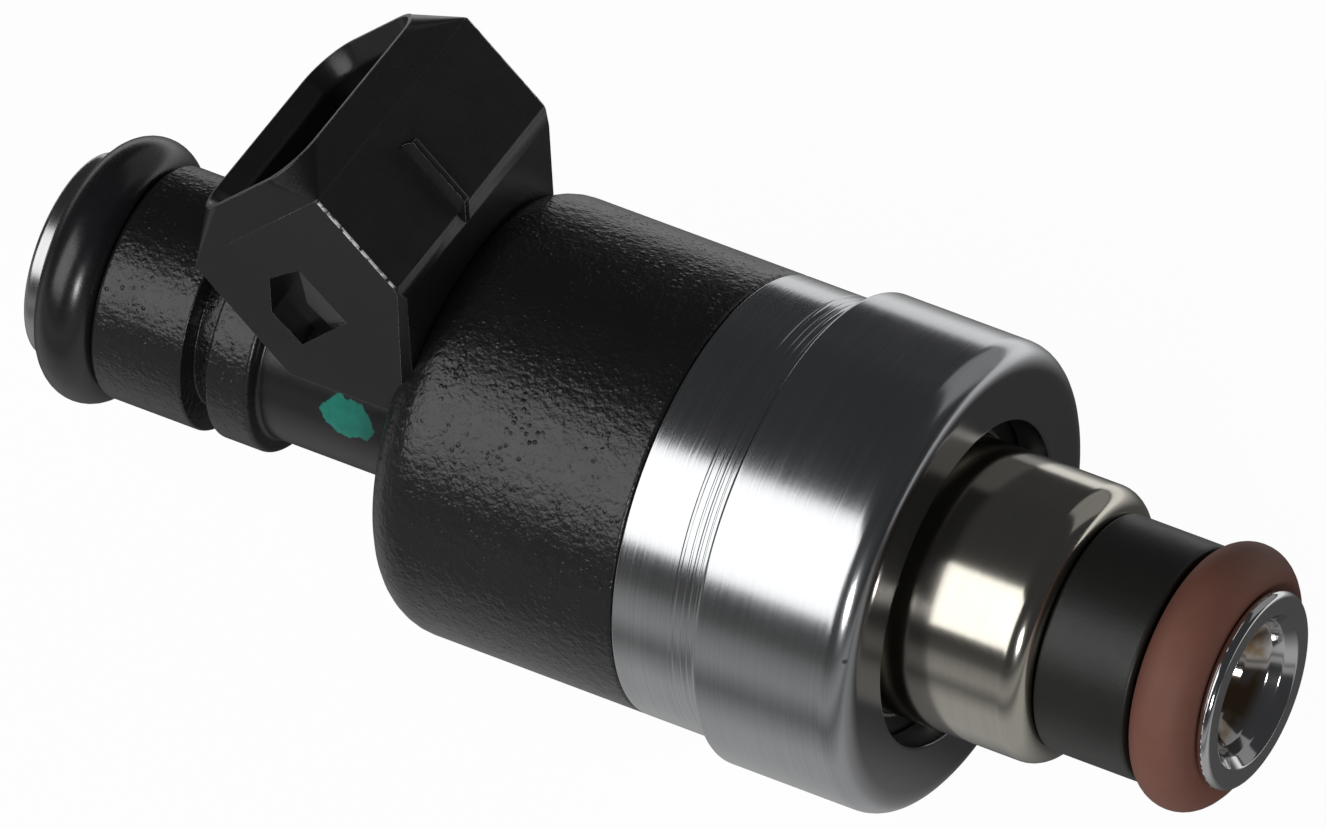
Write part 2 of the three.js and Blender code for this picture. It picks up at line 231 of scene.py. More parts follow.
# ---------------------------------------------------------------- material helpers
class Nodes:
    """Short ways to add and link shader nodes in one material."""

    def __init__(self, name):
        self.material = bpy.data.materials.new(name)
        self.material.use_nodes = True
        self.tree = self.material.node_tree
        self.shader = self.tree.nodes["Principled BSDF"]
        self.place = self.add("ShaderNodeTexCoord").outputs["Object"]

    def add(self, kind, **values):
        node = self.tree.nodes.new(kind)
        for key, value in values.items():
            setattr(node, key, value)
        return node

    def link(self, a, b):
        self.tree.links.new(a, b)

    def set(self, **values):
        for key, value in values.items():
            self.shader.inputs[key.replace("_", " ")].default_value = value

    def math(self, operation, a, b=0.0, c=0.0):
        node = self.add("ShaderNodeMath", operation=operation)
        for socket, value in zip(node.inputs, (a, b, c)):
            if isinstance(value, (int, float)):
                socket.default_value = value
            else:
                self.link(value, socket)
        return node.outputs[0]

    def axes(self):
        split = self.add("ShaderNodeSeparateXYZ")
        self.link(self.place, split.inputs[0])
        return split.outputs

    def radius(self):
        """Distance from the injector's axis."""
        _, y, z = self.axes()
        return self.math("SQRT", self.math("ADD", self.math("MULTIPLY", y, y), self.math("MULTIPLY", z, z)))

    def stretched(self, sx, sy, sz):
        scale = self.add("ShaderNodeVectorMath", operation="MULTIPLY")
        self.link(self.place, scale.inputs[0])
        scale.inputs[1].default_value = (sx, sy, sz)
        return scale.outputs[0]

    def noise(self, scale, detail=2.0, rough=0.5, vector=None):
        node = self.add("ShaderNodeTexNoise")
        node.inputs["Scale"].default_value = scale
        node.inputs["Detail"].default_value = detail
        node.inputs["Roughness"].default_value = rough
        self.link(vector or self.place, node.inputs["Vector"])
        return node.outputs["Fac"]

    def scattered(self, scale):
        """Distance to the nearest of many scattered points, and a fixed number picked for each."""
        node = self.add("ShaderNodeTexVoronoi")
        node.inputs["Scale"].default_value = scale
        self.link(self.place, node.inputs["Vector"])
        pick = self.add("ShaderNodeSeparateColor")
        self.link(node.outputs["Color"], pick.inputs[0])
        return node.outputs["Distance"], pick.outputs[0]

    def between(self, value, low, high, out_low=0.0, out_high=1.0, smooth=True):
        """Runs from out_low to out_high while the value goes from low to high."""
        node = self.add("ShaderNodeMapRange", interpolation_type="SMOOTHSTEP" if smooth else "LINEAR")
        self.link(value, node.inputs["Value"])
        for key, number in zip(("From Min", "From Max", "To Min", "To Max"), (low, high, out_low, out_high)):
            node.inputs[key].default_value = number
        return node.outputs["Result"]

    def ramp(self, value, stops):
        """Straight-line steps through (value, result) stops."""
        low, high = stops[0][0], stops[-1][0]
        node = self.add("ShaderNodeValToRGB")
        elements = node.color_ramp.elements
        while len(elements) < len(stops):
            elements.new(0.5)
        for element, (at, result) in zip(elements, stops):
            element.position = (at - low) / (high - low)
            element.color = (result, result, result, 1)
        self.link(self.between(value, low, high, smooth=False), node.inputs["Fac"])
        return node.outputs["Color"]

    def blend(self, factor, a, b):
        node = self.add("ShaderNodeMix", data_type="RGBA")
        self.link(factor, node.inputs["Factor"])
        for socket, colour in ((node.inputs[6], a), (node.inputs[7], b)):
            if isinstance(colour, tuple):
                socket.default_value = (*colour, 1.0)
            else:
                self.link(colour, socket)
        return node.outputs[2]

    def bump(self, height, strength, distance):
        node = self.add("ShaderNodeBump")
        node.inputs["Strength"].default_value = strength
        node.inputs["Distance"].default_value = distance
        self.link(height, node.inputs["Height"])
        self.link(node.outputs["Normal"], self.shader.inputs["Normal"])

    def colour(self, value):
        self.link(value, self.shader.inputs["Base Color"])

    def roughness(self, value):
        self.link(value, self.shader.inputs["Roughness"])


# ---------------------------------------------------------------- materials
def moulding_material():
    """Glossy black plastic: orange-peel pebble on the round parts, smooth on the connector, one paint dab."""
    m = Nodes("moulding")
    x, y, z = m.axes()
    under_connector = m.between(z, 0.0060, 0.0054)
    beside_connector = m.between(m.math("ABSOLUTE", y), 0.0078, 0.0082)
    clear = m.math("MAXIMUM", under_connector, beside_connector)
    shoulder = m.math("MULTIPLY", m.between(x, -0.0448, -0.0440), clear)
    cylinder = m.math("MAXIMUM", m.between(x, -0.0432, -0.0430), shoulder)
    sleeve = m.math("MULTIPLY", m.between(x, -0.0540, -0.0546), m.between(m.radius(), 0.0070, 0.0067))
    pebbled = m.math("MAXIMUM", cylinder, sleeve)
    spot_place, spot_pick = m.scattered(3500.0)
    spots = m.math("MULTIPLY", m.between(spot_place, 0.55, 0.1), m.between(spot_pick, 0.3, 1.0))
    fine_peel = m.math("MULTIPLY", m.noise(5000.0), 0.3)
    peel = m.math("MULTIPLY_ADD", m.noise(1900.0), 0.7, fine_peel)
    spot_height = m.between(m.noise(500.0), 0.4, 0.65, 0.12, 0.5)
    grain = m.math("MULTIPLY_ADD", spots, spot_height, peel)
    pebble = m.math("MULTIPLY", grain, m.math("MULTIPLY_ADD", pebbled, 0.92, 0.08))
    m.bump(pebble, 0.5, 0.00019)
    dab = paint_dab(m, x, y, z)
    plastic = m.blend(m.noise(400.0), (0.009, 0.009, 0.0092), (0.014, 0.014, 0.0143))
    paint = m.blend(m.noise(1800.0), (0.006, 0.18, 0.13), (0.02, 0.33, 0.25))
    m.colour(m.blend(dab, plastic, paint))
    m.roughness(m.math("MULTIPLY_ADD", m.noise(900.0), 0.12, 0.24))
    m.set(IOR=1.58)
    return m.material


def paint_dab(m, x, y, z):
    """1 inside a ragged oval on the near side of the neck, 0 outside."""
    middle_x, middle_z = -0.0487, 0.00125
    half_long, half_high = 0.00155, 0.00115
    dab_x = m.math("DIVIDE", m.math("SUBTRACT", x, middle_x), half_long)
    dab_z = m.math("DIVIDE", m.math("SUBTRACT", z, middle_z), half_high)
    squares = m.math("ADD", m.math("MULTIPLY", dab_x, dab_x), m.math("MULTIPLY", dab_z, dab_z))
    unevenness = m.math("MULTIPLY_ADD", m.noise(1300.0, 3.0), 0.9, -0.45)
    ragged = m.math("ADD", m.math("SQRT", squares), unevenness)
    near_side = m.between(y, -0.003, -0.0035)
    return m.math("MULTIPLY", m.between(ragged, 1.02, 0.94), near_side)


def edge_highlight_material():
    """The moulding's eased edges, painted with a pale highlight in broken stretches."""
    m = Nodes("moulding_edge_highlight")
    stretches = m.between(m.noise(170.0, 2.0), 0.30, 0.50)
    flecks = m.between(m.noise(2600.0, 3.0), 0.32, 0.52)
    # Pale painted highlight along the eased edges, broken into stretches and flecks.
    painted_glint = m.math("MULTIPLY", stretches, flecks)
    m.colour(m.blend(painted_glint, (0.014, 0.014, 0.0143), (0.85, 0.85, 0.86)))
    m.roughness(m.math("MULTIPLY_ADD", painted_glint, 0.06, 0.25))
    m.bump(flecks, 0.4, 0.00002)
    return m.material


def machined_material(name, dark, light, rough, lines, line_depth, face_x=None):
    """Turned metal: fine rings round the X axis in height, tone and roughness.

    With face_x it is also darker on the end face there, and has a few small nicks.
    """
    m = Nodes(name)
    rings = m.noise(1.0, 3.0, 0.65, m.stretched(lines, 60.0, 60.0))
    cloud = m.noise(220.0, 3.0)
    tone = m.blend(m.math("MULTIPLY_ADD", rings, 0.7, m.math("MULTIPLY", cloud, 0.3)), dark, light)
    height = rings
    if face_x is not None:
        tone = m.blend(m.between(m.axes()[0], face_x - 0.0005, face_x), tone, (0.27, 0.27, 0.28))
        spot, pick = m.scattered(330.0)
        ragged = m.math("MULTIPLY_ADD", m.noise(2600.0, 3.0), 0.09, spot)
        nicks = m.math("MULTIPLY", m.between(ragged, 0.115, 0.085), m.between(pick, 0.66, 0.7))
        tone = m.blend(nicks, tone, (0.16, 0.16, 0.16))
        height = m.math("MULTIPLY_ADD", nicks, -1.5, rings)
    m.colour(tone)
    m.roughness(m.math("MULTIPLY_ADD", rings, 0.10, m.math("MULTIPLY_ADD", cloud, 0.06, rough - 0.08)))
    m.bump(height, 0.35, line_depth)
    m.set(Metallic=1.0)
    return m.material


def nickel_material():
    """Drawn nickel-plated tube, faintly rippled, with the flange inside the can rougher and darkened by
    painted shade.
    """
    m = Nodes("drawn_nickel")
    streaks = m.noise(1.0, 3.0, 0.6, m.stretched(3000.0, 90.0, 90.0))
    cloud = m.noise(180.0, 3.0)
    tube = m.blend(m.math("MULTIPLY_ADD", streaks, 0.5, m.math("MULTIPLY", cloud, 0.5)),
                   (0.50, 0.47, 0.40), (0.68, 0.65, 0.58))
    # Painted shade: the flange inside the can, seen through the gap, is coloured near black.
    flange = m.between(m.radius(), 0.0078, 0.0080)
    m.colour(m.blend(flange, tube, (0.07, 0.07, 0.07)))
    m.roughness(m.math("MULTIPLY_ADD", flange, 0.4, m.math("MULTIPLY_ADD", cloud, 0.08, 0.11)))
    m.bump(m.math("MULTIPLY_ADD", streaks, 0.1, m.noise(260.0, 1.0)), 0.4, 0.00003)
    m.set(Metallic=1.0)
    return m.material


def tip_material():
    """Polished tip: bright outside and on the rim, with a warm brown painted reflection down in the flare."""
    m = Nodes("polished_tip")
    cloud = m.noise(500.0, 3.0, 0.6)
    inside = m.math("MULTIPLY", m.between(m.radius(), 0.0037, 0.0031), m.between(m.axes()[0], 0.0021, 0.0015))
    # Painted reflection: a darker warm brown down in the flare, as if mirroring a brown part.
    brown_reflection = m.math("MULTIPLY", inside, m.between(cloud, 0.35, 0.6, 0.45, 1.0))
    bright = m.blend(cloud, (0.60, 0.60, 0.60), (0.74, 0.74, 0.75))
    m.colour(m.blend(brown_reflection, bright, (0.30, 0.20, 0.11)))
    m.roughness(m.math("MULTIPLY_ADD", cloud, 0.08, 0.06))
    m.bump(m.noise(900.0, 2.0), 0.2, 0.00002)
    m.set(Metallic=1.0)
    return m.material


def rubber_material(name, dark, light, rough, ior=1.5):
    m = Nodes(name)
    m.set(IOR=ior)
    m.colour(m.blend(m.noise(700.0, 3.0), dark, light))
    m.roughness(m.math("MULTIPLY_ADD", m.noise(2500.0, 2.0), 0.12, rough - 0.06))
    m.bump(m.noise(6500.0, 2.0), 0.2, 0.00001)
    return m.material


def plastic_material(name, dark, light, rough):
    m = Nodes(name)
    m.colour(m.blend(m.noise(500.0, 3.0), dark, light))
    m.roughness(m.math("MULTIPLY_ADD", m.noise(1200.0, 2.0), 0.12, rough - 0.06))
    m.bump(m.noise(4000.0, 2.0), 0.2, 0.00004)
    return m.material


def mesh_material():
    """Woven strainer cloth: two crossed sets of fine threads."""
    m = Nodes("strainer_mesh")
    x, y, z = m.axes()
    along = m.math("SINE", m.math("MULTIPLY", x, 40000.0))
    around = m.math("SINE", m.math("MULTIPLY", m.math("ARCTAN2", z, y), 80.0))
    weave = m.math("MULTIPLY", along, around)
    m.colour(m.blend(m.between(weave, -0.4, 0.4), (0.16, 0.13, 0.08), (0.55, 0.47, 0.3)))
    m.bump(weave, 0.6, 0.00003)
    m.set(Metallic=0.6, Roughness=0.45)
    return m.material


def winding_material():
    """Enamelled copper wire in close turns."""
    m = Nodes("copper_wire")
    turns = m.math("SINE", m.math("MULTIPLY", m.axes()[0], 30000.0))
    m.colour(m.blend(m.between(turns, -1.0, 1.0), (0.22, 0.06, 0.02), (0.6, 0.22, 0.09)))
    m.bump(turns, 0.7, 0.0001)
    m.set(Metallic=1.0, Roughness=0.32)
    return m.material


MOULDING = moulding_material()
# Painted highlight for the moulding's eased edges.
EDGE_HIGHLIGHT = edge_highlight_material()
STEEL = machined_material(
    "turned_steel", (0.42, 0.43, 0.44), (0.66, 0.67, 0.68), 0.19, 9000.0, 0.00001, face_x=CAN_X2 * MM)
BAND = machined_material("machined_band", (0.40, 0.41, 0.42), (0.68, 0.69, 0.70), 0.18, 6000.0, 0.00002)
NICKEL = nickel_material()
INLET = machined_material("drawn_steel", (0.36, 0.36, 0.36), (0.56, 0.56, 0.56), 0.24, 5000.0, 0.00001)
TIP = tip_material()
POLISHED = machined_material("lapped_steel", (0.62, 0.62, 0.62), (0.72, 0.72, 0.73), 0.12, 2500.0, 0.000004)
INNER_STEEL = machined_material("inner_steel", (0.34, 0.34, 0.35), (0.48, 0.48, 0.49), 0.34, 5000.0, 0.00002)
WIRE = machined_material("spring_wire", (0.34, 0.34, 0.36), (0.46, 0.46, 0.48), 0.26, 4000.0, 0.00001)
TERMINAL = machined_material("tinned_brass", (0.50, 0.43, 0.28), (0.66, 0.58, 0.40), 0.34, 3000.0, 0.00001)
BLACK_RUBBER = rubber_material("black_rubber", (0.010, 0.0095, 0.0115), (0.018, 0.017, 0.020), 0.27, 1.62)
BROWN_RUBBER = rubber_material("brown_rubber", (0.225, 0.090, 0.062), (0.28, 0.114, 0.080), 0.62)
INNER_RUBBER = rubber_material("seal_rubber", (0.020, 0.021, 0.021), (0.032, 0.033, 0.033), 0.5)
SPACER = plastic_material("spacer_plastic", (0.013, 0.0135, 0.012), (0.020, 0.0205, 0.018), 0.42)
BOBBIN = plastic_material("bobbin_nylon", (0.075, 0.05, 0.03), (0.12, 0.085, 0.055), 0.5)
STRAINER = plastic_material("strainer_nylon", (0.52, 0.49, 0.42), (0.64, 0.61, 0.54), 0.5)
STRAINER_MESH = mesh_material()
COPPER = winding_material()


# ---------------------------------------------------------------- connector frame
LEAN = math.radians(45)
MOUTH = Vector((-53.2, 0.0, 17.0))
OUT = Vector((-math.cos(LEAN), 0.0, math.sin(LEAN)))
ACROSS = Vector((math.sin(LEAN), 0.0, math.cos(LEAN)))
LIP = (4.6, 7.0, 2.5)                 # half across, half wide and corner radius of the mouth's outside
COLLAR = 1.9                          # depth from the mouth to the square shell
COLLAR_UNDER = -5.6                   # across, at the collar's lower side
SOCKET_DEPTH = 9.0
SHELL_HALF = 7.75                     # half the shell's width in Y
SHELL_TOP = 5.35                      # across
SHELL_UNDER = -5.95                   # across
SHELL_BACK = -43.2                    # X of the upright back
SHELL_BACK_TOP = 14.65                # Z at the top of the back
SHELL_FLOOR = 5.8                     # Z of the flat floor
SHELL_FLOOR_X = -50.5                 # X where the floor meets the slanted underside


def connector(depth, across, side=0.0):
    """A point at a depth below the mouth, across it, and to the side in Y."""
    return MOUTH - OUT * depth + ACROSS * across + Vector((0, side, 0))


def side_point(depth, across):
    """The same point as (x, z) in the side outline."""
    p = connector(depth, across)
    return p.x, p.z


def rounded_ring(depth, half_across, half_wide, corner, shift=0.0):
    """Points round a rectangle with round corners, at a depth below the mouth."""
    steps = 10
    ring = []
    for quarter, (sa, sy) in enumerate(((1, 1), (-1, 1), (-1, -1), (1, -1))):
        ca, cy = sa * (half_across - corner), sy * (half_wide - corner)
        for k in range(steps + 1):
            angle = math.radians(90) * (quarter + k / steps)
            a, y = ca + corner * math.cos(angle), cy + corner * math.sin(angle)
            ring.append(connector(depth, a + shift, y))
    return ring


# ---------------------------------------------------------------- the moulding
def make_round_body():
    """The moulding's turned part: sleeve, clip groove, flange, neck and the large cylinder."""
    sleeve_r, groove_r, flange_r, neck_r = 6.43, 5.0, 6.3, 5.4
    groove_x1, groove_x2, flange_x2, shoulder_x = -58.2, -56.8, -54.2, -44.5
    bore, housing_bore = STEM_R + FIT, HOUSING_R + FIT
    housing_x = HOUSING_X1 - FIT
    seal_r, seal_x = 5.75, housing_x - 1.5
    return revolve("moulding", soften([
        (MOULD_X1, bore, 0.1), (MOULD_X1, sleeve_r, 0.35),
        (groove_x1, sleeve_r, 0.15), (groove_x1, groove_r, 0.12),
        (groove_x2, groove_r, 0.12), (groove_x2, flange_r, 0.18),
        (flange_x2, flange_r, 0.3), (flange_x2, neck_r, 0.25),
        (shoulder_x, neck_r, 0.4), (shoulder_x, BODY_R, 2.9),
        (MOULD_X2, BODY_R, 0.22), (MOULD_X2, housing_bore, 0.05),
        (housing_x, housing_bore, 0.1), (housing_x, seal_r, 0.1),
        (seal_x, seal_r, 0.1), (seal_x, POLE_BORE, 0.1),
        (POLE_TOP, POLE_BORE, 0.1), (POLE_TOP, bore, 0.1),
    ]), sides=192)


def make_shell():
    """The connector's block, pushed through Y, with top corners eased and given the painted edge highlight,
    and chamfered back corners.
    """
    back_chamfer, top_ease, edge_ease = 0.42, 0.13, 0.14
    bm = bmesh.new()
    outline = [
        side_point(COLLAR, COLLAR_UNDER), side_point(COLLAR + 0.35, SHELL_UNDER),
        (SHELL_FLOOR_X, SHELL_FLOOR), (SHELL_BACK, SHELL_FLOOR),
        (SHELL_BACK, SHELL_BACK_TOP), side_point(COLLAR, SHELL_TOP),
    ]
    prism(bm, outline, -SHELL_HALF, SHELL_HALF)
    bmesh.ops.recalc_face_normals(bm, faces=bm.faces)

    def on_side(edge):
        return all(abs(abs(v.co.y) - SHELL_HALF) < 1e-4 for v in edge.verts)

    def at_back(edge):
        return all(abs(v.co.x - SHELL_BACK) < 1e-4 for v in edge.verts)

    def at_top(edge):
        return all((v.co - MOUTH).dot(ACROSS) > SHELL_TOP - 0.0101 for v in edge.verts)

    def at_collar(edge):
        return all(abs((MOUTH - v.co).dot(OUT) - COLLAR) < 1e-4 for v in edge.verts)

    back = [e for e in bm.edges if at_back(e) and on_side(e)]
    bmesh.ops.bevel(
        bm, geom=back, offset=back_chamfer, segments=1, profile=0.5, affect="EDGES", clamp_overlap=True)
    top = [e for e in bm.edges if at_top(e) and on_side(e)]
    # The eased top corners take slot 1, the painted edge highlight.
    bmesh.ops.bevel(bm, geom=top, offset=top_ease, segments=2, profile=0.5, affect="EDGES", material=1)
    bm.normal_update()
    square = [e for e in bm.edges if e.calc_face_angle() > math.radians(50) and not at_collar(e)]
    bmesh.ops.bevel(
        bm, geom=square, offset=edge_ease, segments=3, profile=0.55, affect="EDGES", clamp_overlap=True)
    return with_edge_highlights(new_object("shell", bm))


def make_collar():
    """The flare from the shell's square front to the mouth's thin rounded lip."""
    bm = bmesh.new()
    overlap, inset, corner, lip_round = 1.5, 0.012, 0.3, 0.12
    middle = (SHELL_TOP + COLLAR_UNDER) / 2
    base_across = (SHELL_TOP - COLLAR_UNDER) / 2 - inset
    base_side = SHELL_HALF - inset
    rings = [rounded_ring(COLLAR + overlap, base_across - corner, base_side - corner, corner, shift=middle)]
    for t in (0.0, 0.25, 0.5, 0.75, 1.0):
        rings.append(rounded_ring(
            COLLAR * (1 - t) + lip_round * t, base_across + (LIP[0] - base_across) * t,
            base_side + (LIP[1] - base_side) * t, corner + (LIP[2] - corner) * t, shift=middle * (1 - t)))
    for depth, inward in ((0.035, 0.035), (0.0, lip_round)):
        rings.append(rounded_ring(depth, LIP[0] - inward, LIP[1] - inward, LIP[2] - inward))
    loft(bm, rings)
    return new_object("collar", bm)


def make_socket_cutter():
    """The plug's socket: a thin lip, a lead-in, straight walls and an eased floor."""
    half_across, half_wide, corner = 3.6, 6.0, 1.6
    bm = bmesh.new()
    loft(bm, [
        rounded_ring(-1.0, LIP[0] - 0.26, LIP[1] - 0.26, 2.3),
        rounded_ring(0.0, LIP[0] - 0.28, LIP[1] - 0.28, 2.25),
        rounded_ring(0.9, half_across + 0.2, half_wide + 0.2, 1.85),
        rounded_ring(1.3, half_across, half_wide, corner),
        rounded_ring(SOCKET_DEPTH - 0.3, half_across, half_wide, corner),
        rounded_ring(SOCKET_DEPTH - 0.08, half_across - 0.08, half_wide - 0.08, 1.5),
        rounded_ring(SOCKET_DEPTH, half_across - 0.3, half_wide - 0.3, 1.3),
    ])
    return new_object("socket_cutter", bm)


def make_pocket_cutters():
    """Latch recesses in both side faces: a deep well with a ramp along its upper side.

    Corners are (depth, across) for the well, and (depth, across, cut) for the ramp.
    """
    well_depth, ramp_top, ramp_foot = 1.3, 0.01, 0.4
    well = [(4.9, 0.4), (4.6, -1.9), (6.3, -3.6), (8.65, -3.5), (8.65, -1.2), (6.9, -1.4)]
    ramp = [(4.9, 0.4, ramp_top), (6.9, -1.4, ramp_foot), (8.65, -1.2, ramp_foot), (8.65, 0.5, ramp_top)]
    cutters = []
    for side in (-1, 1):
        for shape in ([(d, a, well_depth) for d, a in well], ramp):
            bm = bmesh.new()
            loft(bm, [
                [connector(d, a, side * (SHELL_HALF - cut)) for d, a, cut in shape],
                [connector(d, a, side * (SHELL_HALF + 1)) for d, a, cut in shape],
            ])
            cutters.append(new_object("pocket_cutter", bm))
    return cutters


def make_key_rib():
    """The low rib along the shell's top, just off the middle."""
    y1, y2 = -1.2, -0.75
    top = SHELL_TOP + 0.92
    foot, back_foot = 4.8, 14.3           # sunk into the shell: across at the front, Z at the back
    start = COLLAR + 1.6
    end = (SHELL_BACK - MOUTH.x) / math.sin(LEAN) - top
    outline = [
        side_point(start, foot), side_point(start + 0.15, top),
        side_point(end, top), (SHELL_BACK, back_foot),
    ]
    bm = bmesh.new()
    prism(bm, outline, y1, y2)
    bmesh.ops.recalc_face_normals(bm, faces=bm.faces)
    edges = list(bm.edges)
    bmesh.ops.bevel(bm, geom=edges, offset=0.1, segments=2, profile=0.5, affect="EDGES", clamp_overlap=True)
    return new_object("key_rib", bm)


def make_web():
    """The block that ties the shell's floor to the neck."""
    front, back, low, half_wide = -50.2, -43.8, 3.0, 3.4
    high = SHELL_FLOOR + 0.4
    bm = bmesh.new()
    prism(bm, [(front, low), (front, high), (back, high), (back, low)], -half_wide, half_wide)
    return new_object("web", bm)


def unpaint_sheltered_highlights(block):
    """Leaves the painted edge highlight on the side edges, the mouth's rim and the key rib only."""
    for face in block.data.polygons:
        place = face.center / MM
        at_side = abs(place.y) > SHELL_HALF - 0.6
        at_rim = (MOUTH - place).dot(OUT) < 1.0
        on_rib = (place - MOUTH).dot(ACROSS) > SHELL_TOP + 0.05
        if not (at_side or at_rim or on_rib):
            face.material_index = 0


def make_moulding():
    """The whole black moulding: connector block, then round body and web, then the bore through it."""
    block = make_shell()
    for part in (make_collar(), make_key_rib()):
        boolean(block, part, "UNION")
    for tool in (make_socket_cutter(), *make_pocket_cutters()):
        boolean(block, tool, "DIFFERENCE")
    ease_edges(block, 0.10)
    unpaint_sheltered_highlights(block)
    moulding = with_edge_highlights(make_round_body())
    for part in (block, make_web()):
        boolean(moulding, part, "UNION")
    bore = STEM_R + FIT
    bore_x1, step_x, bore_x2 = MOULD_X1 - 1, -46.1, -42.8
    outline = soften([
        (bore_x1, 0, 0), (bore_x1, bore, 0.01), (step_x, bore, 0.01),
        (step_x, POLE_BORE, 0.01), (bore_x2, POLE_BORE, 0.01), (bore_x2, 0, 0),
    ], closed=False)
    boolean(moulding, revolve("bore_cutter", outline, sides=192, closed=False), "DIFFERENCE")
    sharpen(moulding, 32)
    finish_piece(moulding, MOULDING, "moulded_body")


# ---------------------------------------------------------------- turned and moulded round pieces
def band_grooves():
    """Shallow turned grooves near the can end of the band, each as (x, half width, depth)."""
    grooves = ((-25.45, 0.12, 0.014), (-24.95, 0.08, 0.010), (-24.6, 0.1, 0.016), (-24.25, 0.06, 0.010))
    corners = []
    for x, half, depth in grooves:
        for step, r in ((-1, BAND_R), (-0.5, BAND_R - depth), (0.5, BAND_R - depth), (1, BAND_R)):
            corners.append((x + step * half, r, 0.01))
    return corners


def make_can():
    seat, face_bore, inside_x = HOUSING_R + 0.06, 8.93, CAN_X2 - 1.9
    can = revolve("can", soften([
        (CAN_X1, seat, 0.08), (CAN_X1, CAN_R, 0.22), (CAN_X2, CAN_R, 1.45), (CAN_X2, face_bore, 0.15),
        (inside_x, face_bore, 0.1), (inside_x, seat, 0.1),
    ]), sides=224)
    finish_piece(can, STEEL, "lower_can")


def make_band():
    bore, band_x2 = 9.75, CAN_X1 - 0.12
    band = revolve("housing_band", soften([
        (HOUSING_X1, bore, 0.1), (HOUSING_X1, HOUSING_R, 0.2),
        (BAND_X1, HOUSING_R, 0.05), (BAND_X1, BAND_R, 0.1),
        *band_grooves(),
        (band_x2, BAND_R, 0.1), (band_x2, HOUSING_R, 0.05),
        (HOUSING_X2, HOUSING_R, 0.1), (HOUSING_X2, bore, 0.1),
    ]), sides=224)
    finish_piece(band, BAND, "coil_housing")


def make_nozzle():
    bore, head_r, barrel_r, seat_bore = 4.3, 7.9, 7.61, 3.05
    flange_x1, flange_x2, barrel_x2 = -18.4, -16.75, -7.3
    cone_x1, cone_x2 = -10.25, -9.0
    nozzle = revolve("nozzle_barrel", soften([
        (NOZZLE_X1, bore, 0.1), (NOZZLE_X1, head_r, 0.2),
        (flange_x1, head_r, 0.1), (flange_x1, NOZZLE_FLANGE_R, 0.1),
        (flange_x2, NOZZLE_FLANGE_R, 0.1), (flange_x2, barrel_r, 0.25),
        (barrel_x2, barrel_r, 1.3), (barrel_x2, STEM_R, 0.1),
        (NOZZLE_X2, STEM_R, 0.05), (NOZZLE_X2, seat_bore, 0.05),
        (cone_x2, seat_bore, 0.1), (cone_x1, bore, 0.1),
    ]), sides=192)
    finish_piece(nozzle, NICKEL, "nozzle_tube")


def make_tip():
    """The flared tip, a funnel inside, and the orifice plate behind it."""
    spigot_bore, rim_x1 = 1.6, 1.8
    funnel = [(TIP_X2, 4.3, 0.3), (1.95, 3.75, 0.2), (1.3, 3.5, 0.3), (0.3, 2.65, 0.4)]
    tip = revolve("tip_flare", soften([
        (TIP_X1, spigot_bore, 0.05), (TIP_X1, STEM_R, 0.05),
        (rim_x1, STEM_R, 0.08), (rim_x1, TIP_R, 0.3),
        (TIP_X2, TIP_R, 0.38), *funnel,
    ]), sides=192)
    finish_piece(tip, TIP, "spray_tip")
    orifice = 0.3
    plate = revolve("orifice_plate", soften([
        (PLATE_X1, orifice, 0.02), (PLATE_X1, PLATE_R, 0.05),
        (PLATE_X2, PLATE_R, 0.05), (PLATE_X2, orifice, 0.04),
    ]), sides=96)
    finish_piece(plate, POLISHED, "director_plate")


def make_inlet():
    mouth_r, feed_r, strainer_r = 3.15, 2.0, 2.75
    flange_x2, mouth_x2, feed_x1 = -67.3, -67.75, -54.5
    inlet = revolve("inlet_pipe", soften([
        (INLET_X1, mouth_r, 0.15), (INLET_X1, INLET_R, 0.3),
        (flange_x2, INLET_R, 0.1), (flange_x2, STEM_R, 0.15),
        (INLET_X2, STEM_R, 0.1), (INLET_X2, feed_r, 0.1),
        (feed_x1, feed_r, 0.1), (feed_x1, strainer_r, 0.1), (mouth_x2, strainer_r, 0.1),
    ]), sides=160)
    finish_piece(inlet, INLET, "inlet_tube")


def make_seals():
    """Both O-rings, which share one cord thickness."""
    cord = (RING_X2 - RING_X1) / 2
    steps = 40
    for name, x1, x2, outer, material, slot, node in (
        ("lower_seal", RING_X1, RING_X2, RING_R, BROWN_RUBBER, "rubber_brown", "lower_o_ring"),
        ("upper_seal", TOP_RING_X1, TOP_RING_X2, TOP_RING_R, BLACK_RUBBER, "rubber_black", "upper_o_ring"),
    ):
        x, r = (x1 + x2) / 2, outer - cord
        angles = [2 * math.pi * k / steps for k in range(steps)]
        outline = [(x + cord * math.cos(a), r + cord * math.sin(a)) for a in angles]
        finish_piece(revolve(name, outline), material, node)


def make_spacer():
    bore = STEM_R + FIT
    spacer = revolve("spacer", soften([
        (SPACER_X1, bore, 0.1), (SPACER_X1, SPACER_R, 0.3),
        (SPACER_X2, SPACER_R, 0.22), (SPACER_X2, bore, 0.1),
    ]))
    finish_piece(spacer, SPACER, "spacer_sleeve")


